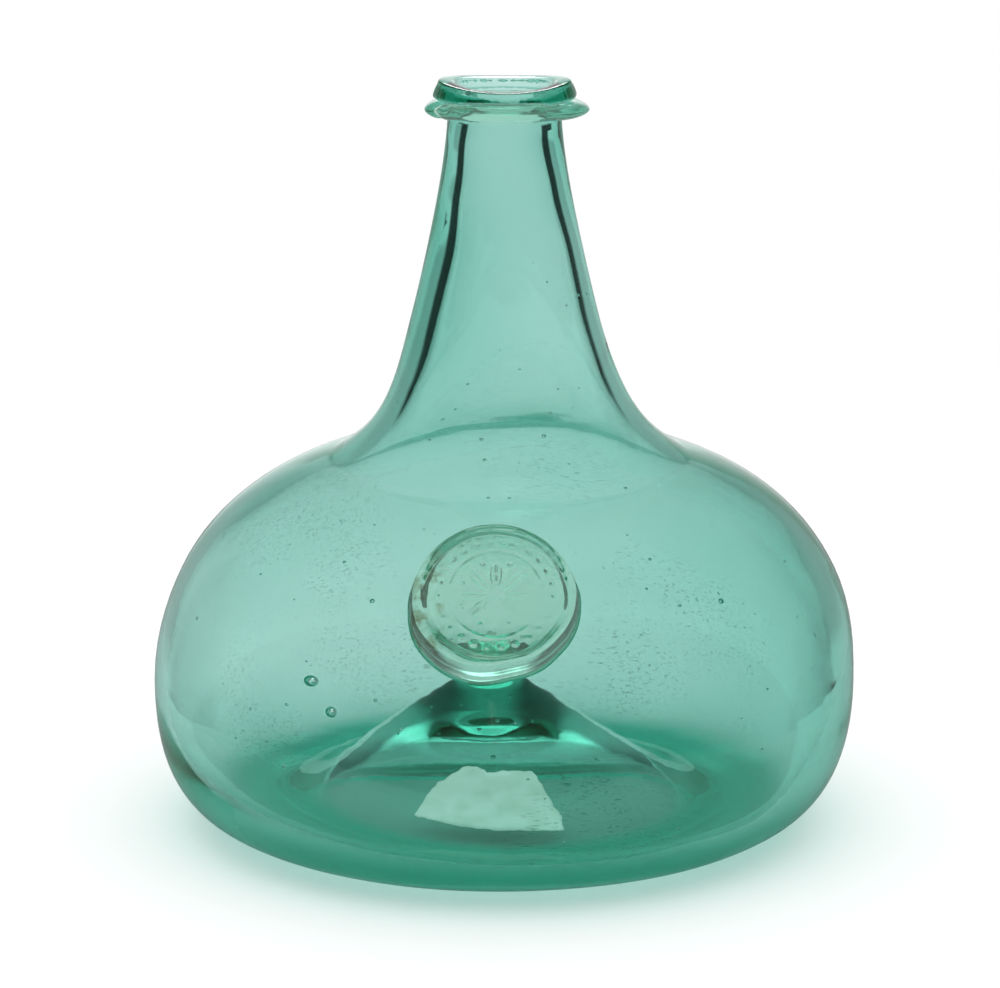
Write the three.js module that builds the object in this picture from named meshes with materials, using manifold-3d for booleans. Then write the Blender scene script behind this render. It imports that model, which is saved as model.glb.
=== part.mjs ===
// A free-blown onion bottle in blue-green glass: a squat bowl on a deep kick, a tapering neck,
// a string rim wound on below the lip and a pressed seal on the shoulder.
// Millimetres, +Z up. The origin is on the surface that the bottle stands on, under its axis,
// and the seal faces -Y.
import * as THREE from "three";
import { mergeVertices } from "three/addons/utils/BufferGeometryUtils.js";
import Module from "manifold-3d";

const wasm = await Module();
wasm.setup();

// Outside of the bowl and neck, from the standing surface up
const bowlRadius = 75;
const girthHeight = 31.5; // where the bowl is widest
const girthToShoulder = 48.5; // rise from there to where the bowl turns into the neck
const shoulderRadius = 38.1;
const shoulderSlope = 29.6; // degrees from the horizontal
const shoulderToWaist = 31.4;
const waistRadius = 19.5; // halfway up the neck
const waistSlope = 75.8;
const waistToString = 39.9;
const neckTopRadius = 12;
const neckTopSlope = 86.4;

// Resting ring and kick
const restRadius = 50;
const restWidth = 4;
const heelSlope = 6; // degrees from the horizontal, where the heel meets the resting ring
const kickHeight = 30; // from the standing surface to the crown inside
const kickSlope = 30; // degrees, at the foot of the kick underneath
const troughInset = 0.4; // the lowest ring inside, from over the edge of the resting ring

// Lip
const lipOverhang = 3; // how far the lip stands out from the neck
const lipHeight = 3.3; // from its underside to its crest
const lipEdgeRise = 1.15; // from its underside to its widest line
const lipRound = 2.2; // from its widest line in to its crest

// Thickness of the glass
const neckWall = 4.3;
const waistWall = 4.4;
const shoulderWall = 3.8;
const bowlWall = 3.6;
const baseWall = 6.5; // above the resting ring
const crownWall = 9; // at the top of the kick

// String rim
const stringReach = 5.2; // how far it stands out from the neck
const stringSwell = 0.6; // how much further it reaches on one side, and less on the other
const stringThickness = 3.7;
const stringTaper = 0.45; // share of the thickness lost towards its edge
const tailLength = 9;
const tailWidth = 3;
const tailSlope = 15; // degrees that the end of the trail slants down
const tailTurn = 218; // degrees round the neck from +X

// Seal
const sealRadius = 17.4;
const sealDrop = 16.2; // its centre below the shoulder
const sealTurn = 268; // degrees round the bowl from +X
const sealThickness = 3.2; // from the bowl at the seal's centre to the top of its rim
const sealSide = 1; // from the bowl to where the side of the pad starts to round over
const sealRimWidth = 3.4;
const dieDepth = 1.3;
const dieDraft = 0.8; // how much wider the pressed field is at the rim than at its floor
const dieOffset = [0.5, 0.9]; // right and up of the pad's middle
const beadRadius = 0.75;
const beadInset = 1.4; // from the edge of the field to the middle of a bead
const beadCount = 24;
const petalLength = 6.2;
const petalWidth = 2.6;
const petalCount = 8;
const bossRadius = 1.5;
const bossHeight = 0.85;
const reliefHeight = 0.6;

// Pontil scar under the crown
const scarRadius = 9.5;
const scarWidth = 4.5;
const scarHeight = 1.8;
const scarSide = 0.55;
const scarRoughness = 0.25;
const scarWaves = { inside: 5, outside: 4, long: 3, short: 7 }; // bites round the ring

const gap = 0.3; // between pieces that touch

// How full each stretch of the outline is: the reach of its end's tangent as a share of its run
const fullness = {
  heel: 0.5,
  girthBelow: 0.825,
  girthAbove: 0.81,
  shoulderBelow: 0.04,
  shoulderAbove: 0.39,
  waistBelow: 0.6,
  waistAbove: 0.28,
  neckTop: 0.28,
  lipUnder: 0.5,
  lipSide: 0.35,
  lipCrest: 0.4,
  mouth: 0.6,
  bore: 0.5,
  innerGirth: 0.72,
  troughOutside: 0.55,
  troughInside: 0.24,
  crownInside: 0.4,
  crownUnder: 0.35,
  kickFoot: 0.22,
  sealRim: 0.5,
};

// Facets round each turned piece
const bodyFacets = 60;
const padFacets = 40;
const dieFacets = 36;
const sectionFacets = 12;

// Sizes and heights that follow from the ones above
const shoulderHeight = girthHeight + girthToShoulder;
const waistHeight = shoulderHeight + shoulderToWaist;
const stringSeatHeight = waistHeight + waistToString;
const stringHeight = stringSeatHeight + gap + stringThickness / 2;
const stringSeatRadius = neckTopRadius + gap;
const lipUnderside = stringSeatHeight + stringThickness + 2 * gap;
const lipRadius = neckTopRadius + lipOverhang;
const crestRadius = lipRadius - lipRound;
const crestHeight = lipUnderside + lipHeight;
const troughRadius = restRadius - troughInset;
const sealHeight = shoulderHeight - sealDrop;
const fieldRadius = sealRadius - sealRimWidth - dieDraft;
const fieldHeight = sealThickness - dieDepth;

const point = (radius, height) => new THREE.Vector2(radius, height);

const heading = (degrees) => {
  const a = THREE.MathUtils.degToRad(degrees);
  return point(Math.cos(a), Math.sin(a));
};

// Points of a smooth stretch of outline. Headings are degrees: 0 is outwards, 90 is up.
function stretch(from, fromHeading, fromReach, to, toHeading, toReach, steps) {
  const leave = heading(fromHeading).multiplyScalar(fromReach).add(from);
  const arrive = heading(toHeading).multiplyScalar(-toReach).add(to);
  return new THREE.CubicBezierCurve(from, leave, arrive, to).getPoints(steps);
}

// The same outline moved inwards by a wall that changes evenly from one end to the other.
function inset(points, startWall, endWall) {
  return points.map((p, i) => {
    const before = points[Math.max(i - 1, 0)];
    const after = points[Math.min(i + 1, points.length - 1)];
    const along = after.clone().sub(before).normalize();
    const wall = THREE.MathUtils.lerp(startWall, endWall, i / (points.length - 1));
    return point(p.x - along.y * wall, p.y + along.x * wall);
  });
}

const joinStretches = (...parts) =>
  parts.reduce((all, part) => all.concat(all.length ? part.slice(1) : part), []);

// Outline of the outside, from the resting ring to the seat of the string rim
const restEdge = point(restRadius, 0);
const girth = point(bowlRadius, girthHeight);
const shoulder = point(shoulderRadius, shoulderHeight);
const waist = point(waistRadius, waistHeight);
const neckTop = point(neckTopRadius, stringSeatHeight);

const heelCurve = stretch(
  restEdge, heelSlope, fullness.heel * (bowlRadius - restRadius),
  girth, 90, fullness.girthBelow * girthHeight, 8,
);
const bowlCurve = stretch(
  girth, 90, fullness.girthAbove * girthToShoulder,
  shoulder, 180 - shoulderSlope, fullness.shoulderBelow * girthToShoulder, 9,
);
const flareCurve = stretch(
  shoulder, 180 - shoulderSlope, fullness.shoulderAbove * shoulderToWaist,
  waist, 180 - waistSlope, fullness.waistBelow * shoulderToWaist, 6,
);
const neckCurve = stretch(
  waist, 180 - waistSlope, fullness.waistAbove * waistToString,
  neckTop, 180 - neckTopSlope, fullness.neckTop * waistToString, 4,
);
const outside = joinStretches(heelCurve, bowlCurve, flareCurve, neckCurve);

// Underside of the kick, from the axis out to the resting ring
const crownBelow = point(0, kickHeight - crownWall);
const kickFoot = point(restRadius - restWidth, 0);
const underside = stretch(
  crownBelow, 0, fullness.crownUnder * kickFoot.x,
  kickFoot, -kickSlope, fullness.kickFoot * kickFoot.x, 7,
);

// Inside of the neck and bowl, from the bore down to the girth
const insideWall = joinStretches(
  inset(neckCurve, waistWall, neckWall).reverse(),
  inset(flareCurve, shoulderWall, waistWall).reverse(),
  inset(bowlCurve, bowlWall, shoulderWall).reverse(),
);

// Lip, from the seat of the string rim over the crest and down to the bore
function lipCurve() {
  const seatTop = point(neckTopRadius, lipUnderside);
  const edge = point(lipRadius, lipUnderside + lipEdgeRise);
  const crest = point(crestRadius, crestHeight);
  const bore = insideWall[0];
  return joinStretches(
    stretch(
      seatTop, 0, fullness.lipUnder * lipOverhang,
      edge, 90, fullness.lipSide * lipEdgeRise, 2,
    ),
    stretch(
      edge, 90, fullness.lipSide * lipHeight,
      crest, 180, fullness.lipCrest * lipRound, 3,
    ),
    stretch(
      crest, 180, fullness.mouth * (crest.x - bore.x),
      bore, 270, fullness.bore * (crest.y - bore.y), 4,
    ),
  );
}

// Inside from the girth down to the trough and up over the kick to the axis
function insideFloor() {
  const innerGirth = insideWall[insideWall.length - 1];
  const trough = point(troughRadius, baseWall);
  const crown = point(0, kickHeight);
  return joinStretches(
    stretch(
      innerGirth, 270, fullness.innerGirth * (innerGirth.y - trough.y),
      trough, 180, fullness.troughOutside * (innerGirth.x - trough.x), 7,
    ),
    stretch(
      trough, 180, fullness.troughInside * trough.x,
      crown, 180, fullness.crownInside * trough.x, 7,
    ),
  );
}

// Turns an outline of radius and height about +Z.
function turned(points, facets) {
  return new THREE.LatheGeometry(points, facets).rotateX(Math.PI / 2);
}

function toSolid(geometry) {
  const bare = geometry.clone();
  bare.deleteAttribute("normal");
  bare.deleteAttribute("uv");
  const merged = mergeVertices(bare, 1e-4);
  const mesh = new wasm.Mesh({
    numProp: 3,
    vertProperties: merged.getAttribute("position").array,
    triVerts: new Uint32Array(merged.getIndex().array),
  });
  return new wasm.Manifold(mesh);
}

function fromSolid(solid) {
  const mesh = solid.getMesh();
  const geometry = new THREE.BufferGeometry();
  geometry.setAttribute("position", new THREE.BufferAttribute(mesh.vertProperties, 3));
  geometry.setIndex(new THREE.BufferAttribute(mesh.triVerts, 1));
  return geometry;
}

// A closed ring about +Z whose section may change on the way round. sectionAt gives the
// section's [radius, height] points in order, inner side first and then over the top.
function ringOf(sectionAt, facets) {
  const turnOf = (i) => (i / facets) * 2 * Math.PI;
  const sections = Array.from({ length: facets }, (_, i) => sectionAt(turnOf(i)));
  const size = sections[0].length;
  const positions = [];
  const triangles = [];
  sections.forEach((section, i) => {
    for (const [radius, height] of section) {
      positions.push(radius * Math.cos(turnOf(i)), radius * Math.sin(turnOf(i)), height);
    }
    const next = (i + 1) % facets;
    for (let j = 0; j < size; j++) {
      const over = (j + 1) % size;
      const [a, b, c, d] = [i * size + j, i * size + over, next * size + over, next * size + j];
      triangles.push(a, b, c, a, c, d);
    }
  });
  const geometry = new THREE.BufferGeometry();
  geometry.setAttribute("position", new THREE.Float32BufferAttribute(positions, 3));
  geometry.setIndex(triangles);
  return geometry;
}

// The one blown gather: underside, outside, lip and inside as one closed outline
function glassBody() {
  const outline = [
    ...underside,
    ...outside,
    ...lipCurve(),
    ...insideWall.slice(1),
    ...insideFloor().slice(1),
  ];
  return turned(outline, bodyFacets);
}

// The trail of glass wound round the neck, thick at the neck and thin at its edge
function stringRim() {
  const ring = ringOf((turn) => {
    const edge = neckTopRadius + stringReach + stringSwell * Math.cos(turn);
    const middle = (stringSeatRadius + edge) / 2;
    return Array.from({ length: sectionFacets }, (_, j) => {
      const a = Math.PI - (j / sectionFacets) * 2 * Math.PI;
      const outwards = (1 + Math.cos(a)) / 2;
      const half = (stringThickness / 2) * (1 - stringTaper * outwards ** 2);
      return [middle + (edge - middle) * Math.cos(a), stringHeight + half * Math.sin(a)];
    });
  }, bodyFacets);
  return fromSolid(toSolid(ring).add(toSolid(stringTail())));
}

// The end of the trail, a drawn-out drop of glass that slants down across the winding
function stringTail() {
  return new THREE.SphereGeometry(0.5, 12, 8)
    .scale(tailWidth, tailLength, stringThickness)
    .rotateX(THREE.MathUtils.degToRad(-tailSlope))
    .translate(stringSeatRadius + tailWidth / 2, 0, stringHeight)
    .rotateZ(THREE.MathUtils.degToRad(tailTurn));
}

// Radius and lean of the outside of the bowl at a height above its girth
function bowlAt(height) {
  const i = outside.findIndex((p) => p.y >= height && p.y > girthHeight);
  const [a, b] = [outside[i - 1], outside[i]];
  const share = (height - a.y) / (b.y - a.y);
  return {
    radius: THREE.MathUtils.lerp(a.x, b.x, share),
    lean: Math.atan2(a.x - b.x, b.y - a.y),
  };
}

// The pad of glass dropped on the shoulder, facing +Z, with its field pressed by a die.
// Its back is left long, to be cut to the bowl.
function sealPad() {
  const back = -sealRadius / 2;
  const rimFall = sealThickness - sealSide;
  const pad = turned(
    [
      point(0, back),
      point(sealRadius, back),
      ...stretch(
        point(sealRadius, sealSide), 90, fullness.sealRim * rimFall,
        point(sealRadius - sealRimWidth / 2, sealThickness), 180,
        fullness.sealRim * (sealRimWidth / 2), 4,
      ),
      point(0, sealThickness),
    ],
    padFacets,
  );
  const die = turned(
    [
      point(0, 0),
      point(fieldRadius, 0),
      point(fieldRadius + 2 * dieDraft, 2 * dieDepth),
      point(0, 2 * dieDepth),
    ],
    dieFacets,
  );
  const [right, up] = dieOffset;
  const pressed = toSolid(pad).subtract(toSolid(die.translate(right, up, fieldHeight)));
  return sealRelief()
    .map((motif) => toSolid(motif.translate(right, up, fieldHeight)))
    .reduce((whole, motif) => whole.add(motif), pressed);
}

// A ring of beads round a rosette, each half sunk in the field
function sealRelief() {
  const beads = Array.from({ length: beadCount }, (_, i) =>
    new THREE.SphereGeometry(beadRadius, 8, 6)
      .scale(1, 1, reliefHeight / beadRadius)
      .translate(fieldRadius - beadInset, 0, 0)
      .rotateZ((i / beadCount) * 2 * Math.PI),
  );
  const petals = Array.from({ length: petalCount }, (_, i) =>
    new THREE.SphereGeometry(0.5, 10, 6)
      .scale(petalLength, petalWidth, 2 * reliefHeight)
      .translate(bossRadius + petalLength / 2, 0, 0)
      .rotateZ((i / petalCount) * 2 * Math.PI),
  );
  const boss = new THREE.SphereGeometry(bossRadius, 12, 8).scale(1, 1, bossHeight / bossRadius);
  return [...beads, ...petals, boss];
}

function seal() {
  const { radius, lean } = bowlAt(sealHeight);
  const place = new THREE.Matrix4()
    .makeRotationZ(THREE.MathUtils.degToRad(sealTurn))
    .multiply(new THREE.Matrix4().makeTranslation(radius, 0, sealHeight))
    .multiply(new THREE.Matrix4().makeRotationY(Math.PI / 2 - lean))
    .multiply(new THREE.Matrix4().makeRotationZ(Math.PI / 2));
  const pad = fromSolid(sealPad()).applyMatrix4(place);
  const seat = inset(outside, -gap, -gap);
  const bowl = turned([point(0, seat[0].y), ...seat, point(0, stringSeatHeight)], bodyFacets);
  return fromSolid(toSolid(pad).subtract(toSolid(bowl)));
}

// Height of the kick's underside at a radius, less the gap
function ceilingAt(radius) {
  const i = underside.findIndex((p) => p.x >= radius);
  const [a, b] = [underside[i - 1], underside[i]];
  return THREE.MathUtils.lerp(a.y, b.y, (radius - a.x) / (b.x - a.x)) - gap;
}

// The rough ring of glass left under the crown where the pontil was broken away
function pontilScar() {
  return ringOf((turn) => {
    const bite = (count) => scarRoughness * Math.sin(count * turn);
    const inner = scarRadius - scarWidth / 2 + bite(scarWaves.inside);
    const outer = scarRadius + scarWidth / 2 + bite(scarWaves.outside);
    const middle = (inner + outer) / 2;
    const height = scarHeight + bite(scarWaves.long) + bite(scarWaves.short);
    return [
      [inner, ceilingAt(inner) - scarSide],
      [inner, ceilingAt(inner)],
      [middle, ceilingAt(middle)],
      [outer, ceilingAt(outer)],
      [outer, ceilingAt(outer) - scarSide],
      [middle, ceilingAt(middle) - height],
    ];
  }, bodyFacets);
}

function glass(color, roughness, opacity) {
  return new THREE.MeshStandardMaterial({
    color,
    roughness,
    metalness: 0,
    transparent: true,
    opacity,
  });
}

const bottle = new THREE.Group();
const pieces = [
  ["glass_body", glassBody(), glass(0x6fbfaa, 0.06, 0.55)],
  ["string_rim", stringRim(), glass(0x3fa38a, 0.08, 0.7)],
  ["seal", seal(), glass(0x8fd6c2, 0.12, 0.7)],
  ["pontil_scar", pontilScar(), glass(0x2f8f78, 0.5, 0.8)],
];
for (const [name, geometry, material] of pieces) {
  const mesh = new THREE.Mesh(geometry, material);
  mesh.name = name;
  bottle.add(mesh);
}

export default bottle;
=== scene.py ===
import math
import random

import bpy
import bmesh
from mathutils import Matrix, Vector, noise
from mathutils.bvhtree import BVHTree
from mathutils.geometry import interpolate_bezier


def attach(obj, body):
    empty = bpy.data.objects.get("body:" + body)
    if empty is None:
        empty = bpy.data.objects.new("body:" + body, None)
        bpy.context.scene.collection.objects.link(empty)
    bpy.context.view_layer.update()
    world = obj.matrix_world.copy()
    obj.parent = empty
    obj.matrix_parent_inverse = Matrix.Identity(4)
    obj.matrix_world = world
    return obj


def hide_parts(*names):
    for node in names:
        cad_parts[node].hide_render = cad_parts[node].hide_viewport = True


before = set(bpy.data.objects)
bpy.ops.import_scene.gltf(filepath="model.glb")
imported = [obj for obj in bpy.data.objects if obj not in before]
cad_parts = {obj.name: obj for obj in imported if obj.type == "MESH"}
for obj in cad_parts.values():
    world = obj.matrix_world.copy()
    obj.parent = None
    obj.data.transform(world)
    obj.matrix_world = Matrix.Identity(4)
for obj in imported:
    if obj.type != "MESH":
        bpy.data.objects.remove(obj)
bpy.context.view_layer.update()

mm = 0.001
scene = bpy.context.scene


# Small helpers

def smooth(low, high, value):
    t = min(max((value - low) / (high - low), 0), 1)
    return t * t * (3 - 2 * t)


def along(stops, value):  # eases through (place, amount) stops
    for (a, x), (b, y) in zip(stops, stops[1:]):
        if value <= b:
            return x + (y - x) * smooth(a, b, value)
    return stops[-1][1]


def outline(start, startHeading, startReach, end, endHeading, endReach, steps):
    # a Bezier stretch of outline in (radius, height); heading 0 is outwards, 90 is up
    def toward(degrees):
        return Vector((math.cos(math.radians(degrees)), 0, math.sin(math.radians(degrees))))
    a, b = Vector((start[0], 0, start[1])), Vector((end[0], 0, end[1]))
    leave, arrive = a + toward(startHeading) * startReach, b - toward(endHeading) * endReach
    return interpolate_bezier(a, leave, arrive, b, steps + 1)


def wallOf(points, startWall, endWall):  # the same stretch moved inwards by the wall
    moved = []
    for i, p in enumerate(points):
        heading = (points[min(i + 1, len(points) - 1)] - points[max(i - 1, 0)]).normalized()
        wall = startWall + (endWall - startWall) * i / (len(points) - 1)
        moved.append(p + Vector((-heading.z, 0, heading.x)) * wall)
    return moved


def joined(*stretches):
    points = list(stretches[0])
    for stretch in stretches[1:]:
        points += stretch[1:]
    return points


def toPiece(bm, name, material, replaces=None):
    for face in bm.faces:
        face.smooth = True
    mesh = bpy.data.meshes.new(name)
    bm.to_mesh(mesh)
    bm.free()
    piece = bpy.data.objects.new(name, mesh)
    scene.collection.objects.link(piece)
    mesh.materials.append(material)
    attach(piece, "root")
    if replaces:
        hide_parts(replaces)
    return piece


# Glass

def linear(hexColour):
    channels = [int(hexColour[i:i + 2], 16) / 255 for i in (1, 3, 5)]
    return [c / 12.92 if c <= 0.04045 else ((c + 0.055) / 1.055) ** 2.4 for c in channels] + [1]


def addNode(tree, kind, inputs=None, **settings):
    made = tree.nodes.new(kind)
    for name, value in settings.items():
        setattr(made, name, value)
    for socket, value in (inputs or {}).items():
        if isinstance(value, bpy.types.NodeSocket):
            tree.links.new(value, made.inputs[socket])
        else:
            made.inputs[socket].default_value = value
    return made


# what every surface of the old glass shares
wear = {
    "scratchWidth": 0.5, "scratchRuns": [((0, 0.3, 0), 0.12), ((0.3, -1.0, 0), 0.16)],  # turn and stretch
    "scratchPatch": 26, "scratchAt": (0.67, 0.72), "patchAt": (0.51, 0.66), "scratchBelow": (100, 75),
    "pitSpacing": 3.6, "pitSize": (0.03, 0.075), "pitShare": 0.6,
    "colour": "#4d7365", "strength": 0.5, "roughness": 0.3,
    "rustLeft": (-11.5, -13.5), "rustFade": 0.1, "rustStrength": 0.7, "rustColour": "#a67f45",
    "cordSpacing": (30, 3.2), "cordTurn": (0.12, 0.1, 0), "cordHeight": 0.018,  # along, across
}
# glass tinted by iron: its index, the tint it gives to white light that goes through, and the count of
# inner reflections that light is let go after
glass = {"index": 1.51, "tint": (0.086, 0.681, 0.571, 1), "innerTurns": 1.5}


def glassMaterial(name, finish):
    # hand-blown forest glass: clear and blue-green, with cords and ripples that bend what is behind it,
    # hairline scratches in patches, dark pits and, on string and seal, rust-brown stains
    material = bpy.data.materials.new(name)
    material.use_nodes = True
    tree = material.node_tree
    tree.nodes.clear()
    maths, mix = "ShaderNodeMath", "ShaderNodeMix"
    ramp, noiseTexture = "ShaderNodeMapRange", "ShaderNodeTexNoise"
    place = addNode(tree, "ShaderNodeTexCoord").outputs["Object"]
    sides = addNode(tree, "ShaderNodeSeparateXYZ", {"Vector": place}).outputs

    scratches = 0.0
    for rotation, stretch in wear["scratchRuns"]:
        run = addNode(tree, "ShaderNodeMapping", {
            "Vector": place, "Rotation": rotation, "Scale": (stretch, 1, 1)}).outputs["Vector"]
        hairs = addNode(tree, noiseTexture, {
            "Vector": run, "Scale": 1 / (wear["scratchWidth"] * mm), "Detail": 1.0}).outputs["Fac"]
        hairs = addNode(tree, ramp, {
            "Value": hairs, "From Min": wear["scratchAt"][0],
            "From Max": wear["scratchAt"][1]}).outputs["Result"]
        scratches = addNode(tree, maths, {0: scratches, 1: hairs}, operation="MAXIMUM").outputs[0]
    patches = addNode(tree, noiseTexture, {
        "Vector": place, "Scale": 1 / (wear["scratchPatch"] * mm), "Detail": 1.0}).outputs["Fac"]
    patches = addNode(tree, ramp, {
        "Value": patches, "From Min": wear["patchAt"][0],
        "From Max": wear["patchAt"][1]}).outputs["Result"]
    low = addNode(tree, ramp, {
        "Value": sides["Z"], "From Min": wear["scratchBelow"][0] * mm,
        "From Max": wear["scratchBelow"][1] * mm}).outputs["Result"]
    scratches = addNode(tree, maths, {0: scratches, 1: patches}, operation="MULTIPLY").outputs[0]
    scratches = addNode(tree, maths, {0: scratches, 1: low}, operation="MULTIPLY").outputs[0]

    cells = addNode(tree, "ShaderNodeTexVoronoi", {
        "Vector": place, "Scale": 1 / (wear["pitSpacing"] * mm)}).outputs
    some = addNode(tree, "ShaderNodeSeparateColor", {"Color": cells["Color"]}).outputs["Red"]
    some = addNode(tree, maths, {0: some, 1: wear["pitShare"]}, operation="GREATER_THAN").outputs[0]
    pits = addNode(tree, ramp, {
        "Value": cells["Distance"], "From Min": wear["pitSize"][0], "From Max": wear["pitSize"][1],
        "To Min": 1.0, "To Max": 0.0}).outputs["Result"]
    pits = addNode(tree, maths, {0: pits, 1: some}, operation="MULTIPLY").outputs[0]
    marks = addNode(tree, maths, {0: scratches, 1: pits}, operation="MAXIMUM").outputs[0]
    marks = addNode(tree, maths, {0: marks, 1: wear["strength"]}, operation="MULTIPLY").outputs[0]
    colour = addNode(tree, mix, {
        0: marks, 6: linear(finish["colour"]), 7: linear(wear["colour"])}, data_type="RGBA").outputs[2]
    if finish["stained"]:
        patch, threshold = finish["stained"]
        rust = addNode(tree, noiseTexture, {
            "Vector": place, "Scale": 1 / (patch * mm), "Detail": 4.0}).outputs["Fac"]
        rust = addNode(tree, ramp, {
            "Value": rust, "From Min": threshold, "From Max": threshold + wear["rustFade"],
            "To Max": wear["rustStrength"]}).outputs["Result"]
        left = addNode(tree, ramp, {
            "Value": sides["X"], "From Min": wear["rustLeft"][0] * mm,
            "From Max": wear["rustLeft"][1] * mm}).outputs["Result"]
        rust = addNode(tree, maths, {0: rust, 1: left}, operation="MULTIPLY").outputs[0]
        colour = addNode(tree, mix, {
            0: rust, 6: colour, 7: linear(wear["rustColour"])}, data_type="RGBA").outputs[2]
    roughness = addNode(tree, maths, {
        0: marks, 1: wear["roughness"], 2: finish["roughness"]}, operation="MULTIPLY_ADD").outputs[0]

    ripple = addNode(tree, noiseTexture, {
        "Vector": place, "Scale": 1 / (finish["ripple"][0] * mm), "Detail": 2.0}).outputs["Fac"]
    height = addNode(tree, maths, {0: ripple, 1: finish["ripple"][1] * mm}, operation="MULTIPLY").outputs[0]
    lengthwise, across = wear["cordSpacing"]
    drawn = addNode(tree, "ShaderNodeMapping", {
        "Vector": place, "Rotation": wear["cordTurn"],
        "Scale": (1, 1, lengthwise / across)}).outputs["Vector"]
    cords = addNode(tree, noiseTexture, {
        "Vector": drawn, "Scale": 1 / (lengthwise * mm), "Detail": 1.0}).outputs["Fac"]
    height = addNode(tree, maths, {
        0: cords, 1: wear["cordHeight"] * mm, 2: height}, operation="MULTIPLY_ADD").outputs[0]
    bump = addNode(tree, "ShaderNodeBump", {"Height": height, "Strength": 1.0, "Distance": 1.0})

    shader = addNode(tree, "ShaderNodeBsdfPrincipled", {
        "Base Color": colour, "Roughness": roughness, "IOR": glass["index"],
        "Transmission Weight": finish["clear"], "Normal": bump.outputs["Normal"]})
    tint = addNode(tree, "ShaderNodeVolumeAbsorption", {
        "Color": glass["tint"], "Density": finish["density"]})
    # light that has turned twice inside the wall gets out, as it does at the scuffs and seeds of old glass
    path = addNode(tree, "ShaderNodeLightPath").outputs
    freed = addNode(tree, maths, {
        0: path["Glossy Depth"], 1: glass["innerTurns"]}, operation="GREATER_THAN").outputs[0]
    clear = addNode(tree, "ShaderNodeBsdfTransparent")
    surface = addNode(tree, "ShaderNodeMixShader", {
        0: freed, 1: shader.outputs["BSDF"], 2: clear.outputs["BSDF"]})
    addNode(tree, "ShaderNodeOutputMaterial", {
        "Surface": surface.outputs["Shader"], "Volume": tint.outputs["Volume"]})
    return material


# density is per metre, clear the share that lets light through, ripple its spacing and height, stained
# the patch size and threshold; the body is fire-polished, and the string and the pressed seal, whose
# thick glass looks paler, are a little cloudy
bodyGlass = glassMaterial("free_blown_forest_glass", {
    "colour": "#ffffff", "roughness": 0.0, "density": 140, "clear": 1.0,
    "ripple": (9, 0.02), "stained": None})
trailGlass = glassMaterial("wound_forest_glass", {
    "colour": "#fbfff6", "roughness": 0.0, "density": 150, "clear": 0.95,
    "ripple": (4, 0.03), "stained": (5, 0.6)})
sealGlass = glassMaterial("pressed_forest_glass", {
    "colour": "#fdfff8", "roughness": 0.05, "density": 45, "clear": 0.96,
    "ripple": (3, 0.03), "stained": (4, 0.52)})
print("glass mixed")


# Body

body = {
    "bowlRadius": 75, "girth": 31.5, "shoulder": (38.1, 80), "shoulderSlope": 29.6,
    "waist": (19.5, 111.4), "waistSlope": 75.8, "neckTop": (12, 151.3), "neckTopSlope": 86.4,
    "rest": (46, 50), "trough": (49.6, 5), "heelInside": (0.72, 0.55), "heelOutside": (6, 12.5, 0.825),
    "kick": 30, "crownEdge": (9, 29), "kickSlope": 33, "crownUnder": 20.8, "footSlope": 32,
    # how far each curve leaves and arrives straight, as a share of its rise or width
    "bowlReach": (0.81, 0.04), "flareReach": (0.39, 0.6), "neckReach": (0.28, 0.28),
    "underReach": (0.28, 0.78), "kickReach": (0.24, 0.44),
    "walls": {"neck": 4.3, "waist": 4.4, "shoulder": 3.8, "bowl": 3.9},
    "lipUnderside": 155.6, "lipEdge": (15, 156.5), "lipShoulder": (13.9, 158.9), "lipFace": 108,
    "crest": (12.9, 159.3), "innerEdge": (10.7, 159.0), "throat": (9.7, 157), "throatSlope": 78,
    "lipSaddle": 0.55, "saddleRise": (155, 158.5),
    # flutes left by the lipping tool: spacing and depth, and the heights and radii they fade over
    "flutes": (0.9, 0.16), "fluteRise": (155.6, 156.6), "fluteFall": (159.1, 158), "fluteOut": (11.5, 13),
    "around": 224, "boreSteps": 8,
    # sideways lean of the whole wall and of its inside alone, by height
    "lean": [(0, -0.5), (31, 0), (55, 0.9), (80, 1.2), (111, 0.2), (160, 0.1)],
    "insideShift": [(8, 0), (25, -0.9), (60, -0.9), (80, 0), (92, 0.4), (106, 0.85), (123, 0.85),
                    (137, 0.1), (147, -0.3), (152, 0)],
    "apexShift": -2.6,
    # waves of blown glass: length and height, and the height they grow over from the table up
    "outsideWave": (26, 0.10), "insideWave": (20, 0.22), "waveRise": 3,
}


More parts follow.
